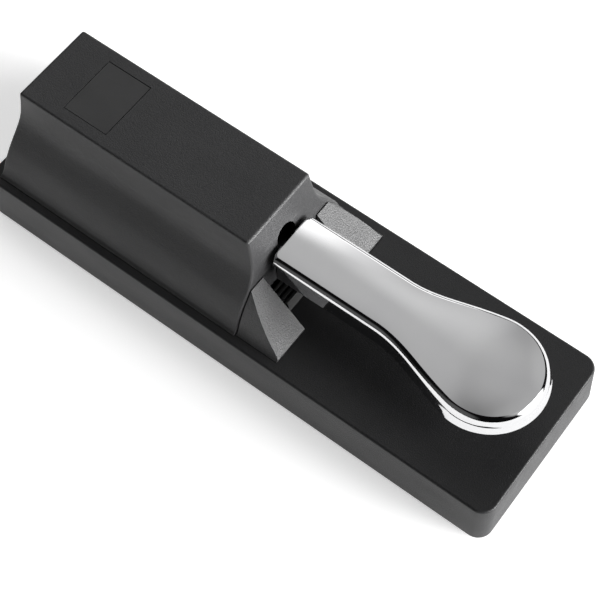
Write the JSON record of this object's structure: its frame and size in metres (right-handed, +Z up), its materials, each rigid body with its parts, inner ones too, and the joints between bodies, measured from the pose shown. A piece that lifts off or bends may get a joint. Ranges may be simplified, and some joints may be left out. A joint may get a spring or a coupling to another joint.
{
  "type": "sustain pedal",
  "caption": "Piano-style sustain pedal: a chrome spoon lever rocks in a flared plastic housing on a long weighted base and works a switch.",
  "frame": {"origin": "on the floor, under the middle of the base", "axes": "+Z up, +Y along the base towards the housing, the pedal's round end towards -Y, +X to the right of someone looking along +Y"},
  "size_m": [0.0826, 0.2526, 0.069],
  "materials": {
    "badge_plastic": "plain black badge",
    "bare_steel": "zinc plated steel",
    "base_plastic": "fine grained black moulding",
    "black_insulation": "black insulation",
    "board": "green circuit board",
    "fastener_zinc": "zinc plated",
    "guard_plastic": "coarser grained black moulding",
    "housing_plastic": "fine grained black moulding",
    "nylon": "natural nylon",
    "pedal_chrome": "polished chrome plate",
    "plate_steel": "black painted sheet steel",
    "plunger_plastic": "red moulding",
    "red_insulation": "red insulation",
    "rubber": "black moulded rubber",
    "spring_steel": "bright spring steel",
    "switch_plastic": "black moulding"
  },
  "bodies": {
    "chassis": {"axle_clip_left": "spring_steel", "axle_clip_right": "spring_steel", "base_tray": "base_plastic", "board_spacer_left": "nylon", "board_spacer_right": "nylon", "bottom_plate": "plate_steel", "bracket_screw_1": "fastener_zinc", "bracket_screw_2": "fastener_zinc", "bracket_screw_3": "fastener_zinc", "bracket_screw_4": "fastener_zinc", "cable_gland": "rubber", "down_stop_pad": "rubber", "foot_front_left": "rubber", "foot_front_right": "rubber", "foot_middle_left": "rubber", "foot_middle_right": "rubber", "foot_rear_left": "rubber", "foot_rear_right": "rubber", "guard_left": "guard_plastic", "guard_right": "guard_plastic", "guard_screw_left": "fastener_zinc", "guard_screw_right": "fastener_zinc", "housing_cover": "housing_plastic", "housing_screw_1": "fastener_zinc", "housing_screw_2": "fastener_zinc", "housing_screw_3": "fastener_zinc", "housing_screw_4": "fastener_zinc", "label_badge": "badge_plastic", "lead_live": "red_insulation", "lead_return": "black_insulation", "microswitch_body": "switch_plastic", "pivot_axle": "bare_steel", "pivot_bracket": "bare_steel", "pivot_bush_left": "nylon", "pivot_bush_right": "nylon", "plate_screw_1": "fastener_zinc", "plate_screw_2": "fastener_zinc", "plate_screw_3": "fastener_zinc", "plate_screw_4": "fastener_zinc", "plate_screw_5": "fastener_zinc", "plate_screw_6": "fastener_zinc", "polarity_board": "board", "polarity_switch_body": "bare_steel", "return_spring": "spring_steel", "spring_seat": "nylon", "switch_bracket": "bare_steel", "up_stop_bumper": "rubber"},
    "pedal": {"pedal_casting": "pedal_chrome", "rocker_arm": "bare_steel", "pedal_screw_1": "fastener_zinc", "pedal_screw_2": "fastener_zinc", "actuator_pad": "nylon"},
    "switch_leaf": {"microswitch_leaf": "spring_steel"},
    "switch_plunger": {"microswitch_plunger": "plunger_plastic"},
    "polarity_knob": {"polarity_slider": "switch_plastic"}
  },
  "joints": [
    {"name": "pedal_hinge", "type": "hinge", "parent": "chassis", "child": "pedal", "pos_m": [0, 0.034, 0.0415], "axis": [1, 0, 0], "range_deg": [0, 6.5], "stiffness_Nm_per_rad": 8, "springref_deg": -9.17, "deforming": ["return_spring"]},
    {"name": "leaf_hinge", "type": "hinge", "parent": "chassis", "child": "switch_leaf", "pos_m": [0, 0.078, 0.0345], "axis": [1, 0, 0], "range_deg": [-17, 0]},
    {"name": "plunger_slide", "type": "slide", "parent": "chassis", "child": "switch_plunger", "axis": [0, 0, 1], "range_m": [0, 0.0008]},
    {"name": "polarity_slide", "type": "slide", "parent": "chassis", "child": "polarity_knob", "axis": [1, 0, 0], "range_m": [0, 0.0059]}
  ],
  "couplings": [
    {"joint": "leaf_hinge", "follows": "pedal_hinge", "ratio": -2.3},
    {"joint": "plunger_slide", "follows": "pedal_hinge", "m_per_rad": 0.006}
  ]
}
